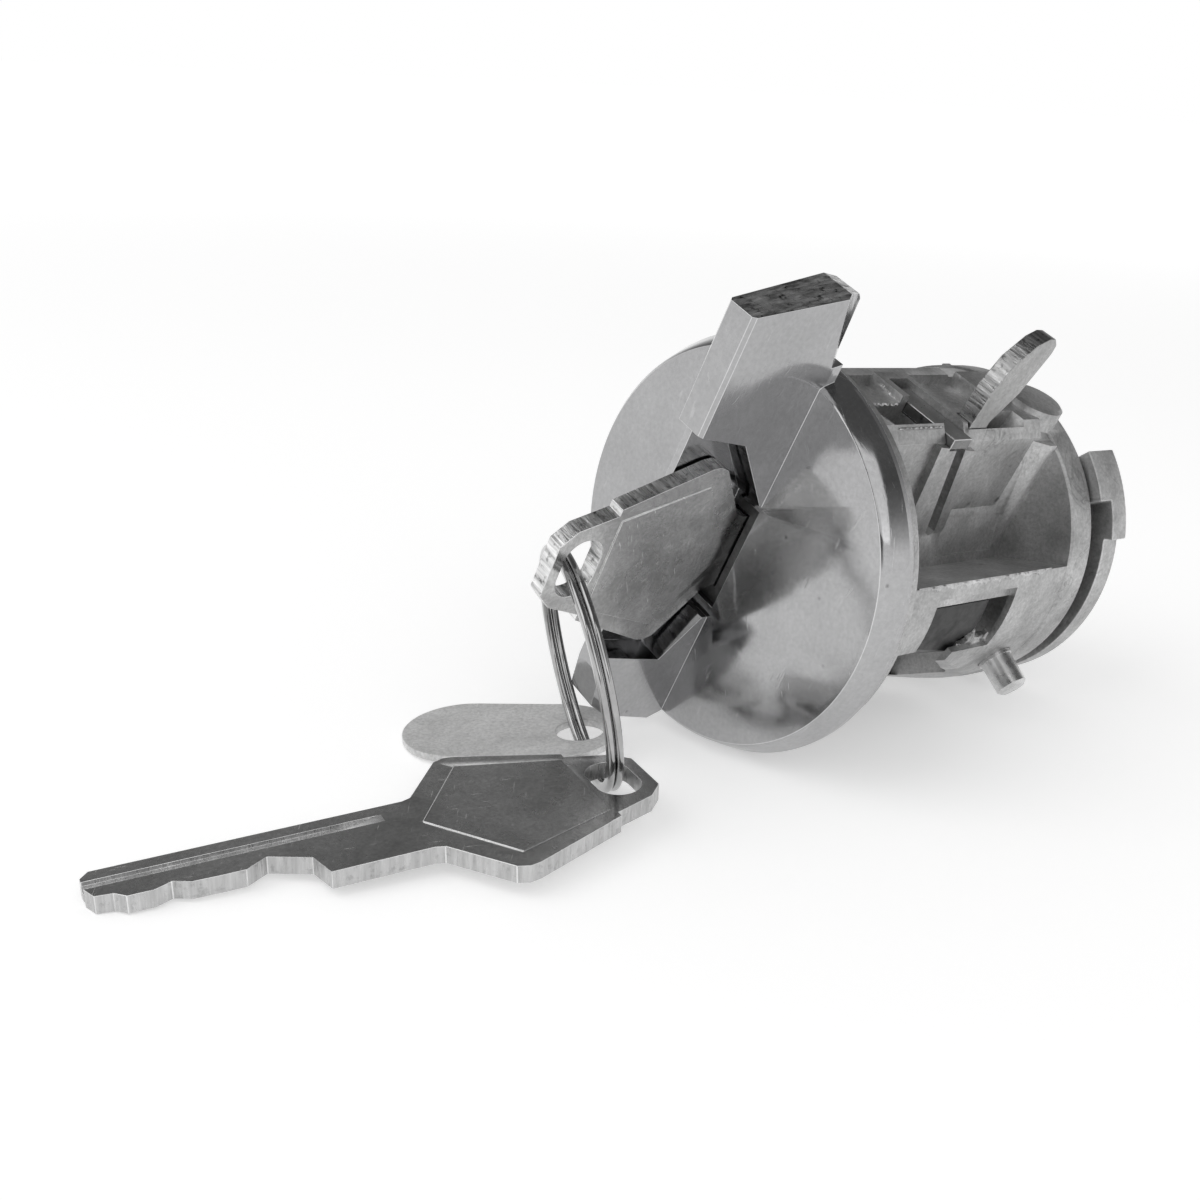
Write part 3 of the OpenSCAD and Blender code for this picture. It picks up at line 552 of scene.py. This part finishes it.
# The casting's own ways in the row's frame: across its width and along its axis
ACROSS = ROLLED.to_3x3() @ Vector((1, 0, 0))
ALONG = ROLLED.to_3x3() @ Vector((0, 1, 0))
chrome = plated()
# Brighter plate on the knob's rounded edges: a painted highlight
chrome_edge_highlight = plated("plate_edge_highlight", 0.62)
ear_top = sheared("ear_top", ALONG, 0.60, 0.75)
# Near-black steel for the slot and socket behind the key's bow: painted shade in that recess
socket_painted_shade = plain_steel("socket_painted_shade", 0.07, 0.5)
zinc = cast_zinc()
zinc_edge = cast_zinc("cast_edge", 0.66)
# The plug's casting in a dark grey: painted shade, so that the pocket in front of it reads black
plug_painted_shade = cast_zinc("plug_zinc_painted_shade", 0.16)
key_face = worn_sheet("key_face", 0.54, 0.42)
key_rim = plain_steel("key_rim", 0.78, 0.2)
spare_cut = sheared("spare_cut_edge", (0, 0, 1), 0.52, 0.18)
key_cut = sheared("key_cut_edge", ACROSS, 0.74, 0.5)
key_groove = plain_steel("key_groove", 0.80, 0.25)
tag_face = worn_sheet("tag_face", 0.78, 0.18, 0.45)
tag_face.shader.inputs["Metallic"].default_value = 0.55
lever_face = worn_sheet("lever_face", 0.42, 0.2)
lever_edge = sheared("lever_edge", ACROSS, 0.4, 0.45)
pin_steel = plain_steel("pin_steel", 0.66, 0.26, 900, 0.004)
bolt_steel = plain_steel("bolt_steel", 0.28, 0.35)
wire_steel = plain_steel("ring_wire", 0.44, 0.12, 500, 0.003)
spring_steel = plain_steel("spring_steel", 0.5, 0.3)
# Near-black steel for the core sleeve seen through the window: painted shade, standing in for the shadow
# inside the casting
sleeve_painted_shade = plain_steel("sleeve_painted_shade", 0.075, 0.42, 700)
tumbler_plate = plain_steel("tumbler_plate", 0.5, 0.35)

dress("lock_body", "housing", (zinc, zinc_edge), 0.12, edge=1)
dress("turn_knob", "plug", (chrome, chrome_edge_highlight, ear_top, socket_painted_shade), 0.28, segments=3,
      levels=knob_regions, edge=1)
dress("plug", "plug", (plug_painted_shade,), 0.1)
dress("drive_cam", "plug", (zinc, zinc_edge), 0.15, edge=1)
dress("release_lever", "release_lever", (lever_face, lever_edge), 0.12, levels=flat_levels)
dress("cross_bolt", "cross_bolt", (bolt_steel, pin_steel), 0.1, edge=1)
dress("core_sleeve", "housing", (sleeve_painted_shade,), 0.1)
dress("retaining_pin", "retaining_pin", (pin_steel,), 0.12)
dress("key", "key", (key_face, key_cut, key_groove, key_rim), 0.09,
      levels=flat_levels, edge=3)
dress("split_ring", "split_ring", (wire_steel,), 0.0)
dress("spare_key", "spare_key", (key_face, spare_cut, key_groove, key_rim), 0.09,
      levels=flat_levels, edge=3)
dress("tag", "tag", (tag_face,), 0.12)

# The two springs that a pressed part shortens, each dressed and given a mesh of its own. With each are listed
# its fixed end, a place in the row's frame, and a little under what the travel leaves of its length: 2.9 mm
# less 0.7, and 6.3 mm less 3.2. The pin's spring lies along a ray at PIN_ANGLE
PIN_ANGLE = math.radians(-40)
PIN_WAY = Vector((math.cos(PIN_ANGLE), 0, math.sin(PIN_ANGLE)))
BOLT_SPRING_END = Vector((-4.45, 13.1, 16.9)) * MM
PIN_SPRING_END = 8.15 * MM * PIN_WAY + Vector((0, 27 * MM, 0))
for node, joint, way, end, keep in (
        ("bolt_spring", "bolt_slide", ACROSS, ROLLED @ BOLT_SPRING_END, 0.74),
        ("pin_spring", "pin_slide", LIES.to_3x3() @ PIN_WAY, LIES @ PIN_SPRING_END, 0.46)):
    spring = dress(node, "housing", (spring_steel,), 0.0)
    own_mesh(spring)

# Turns from a key's own frame into the row's frame: the key in the lock, and the spare on the surface,
# which is turned over and slopes a little
KEY_PLACE = ROLLED @ Matrix(((0, 0, -1, 0), (-1, 0, 0, -5.0), (0, -1, 0, 0), (0, 0, 0, 1)))
SPARE_ROOT = (2.031, -42.604, FLOOR_Z / MM + 2.205)
SPARE_TURN = math.radians(76)
SPARE_SLOPE = math.radians(-2.706)
SPARE_PLACE = (Matrix.Translation(SPARE_ROOT) @ Matrix.Rotation(SPARE_TURN, 4, "Z")
               @ Matrix.Rotation(SPARE_SLOPE, 4, "Y") @ Matrix.Rotation(math.pi, 4, "X"))
for name, place, body in (("key", KEY_PLACE, "key"), ("spare", SPARE_PLACE, "spare_key")):
    for side, which in ((1, "a"), (-1, "b")):
        groove_floor(f"{name}_groove_{which}", place, side, key_groove, body)

# Torn lips in the casting's frame: name, start and end in mm, ways out and up, width, height, seed, sections
LIPS = (
    ("ledge_lip", (16.8, 4.4, 6.38), (16.8, 27.6, 6.38), (0.5, 0, -0.87), (0.5, 0, 0.87), 0.55, 0.28, 3, 170),
    ("shelf_lip", (1.05, 2.6, 17.35), (1.05, 10.3, 17.35), (1, 0, 0), (0, 0, 1), 0.5, 0.35, 5, 90),
    ("slot_lip", (-2.2, 10.35, 17.75), (1.0, 10.45, 17.35), (0, 1, 0), (0, 0, 1), 0.8, 0.45, 9, 60),
    ("pocket_lip", (6.4, 4.2, 18.1), (6.4, 11.2, 18.1), (1, 0, 0), (0, 0, 1), 0.25, 0.18, 15, 90),
)
for lip in LIPS:
    torn_lip(*lip, zinc_edge)
broken_skin(zinc)
spring_leg(pin_steel)

for node in ("cam_washer", "face_washer", "detent_ball", "lever_pivot"):
    repaint(node, pin_steel)
for node in ("cam_clip", "sidebar"):
    repaint(node, bolt_steel)
for node in ("tumbler_springs", "sidebar_springs", "detent_spring", "lever_spring"):
    repaint(node, spring_steel)
for i in range(1, 7):
    repaint(f"tumbler_{i}", tumbler_plate)

bpy.context.scene.view_settings.view_transform = "Standard"
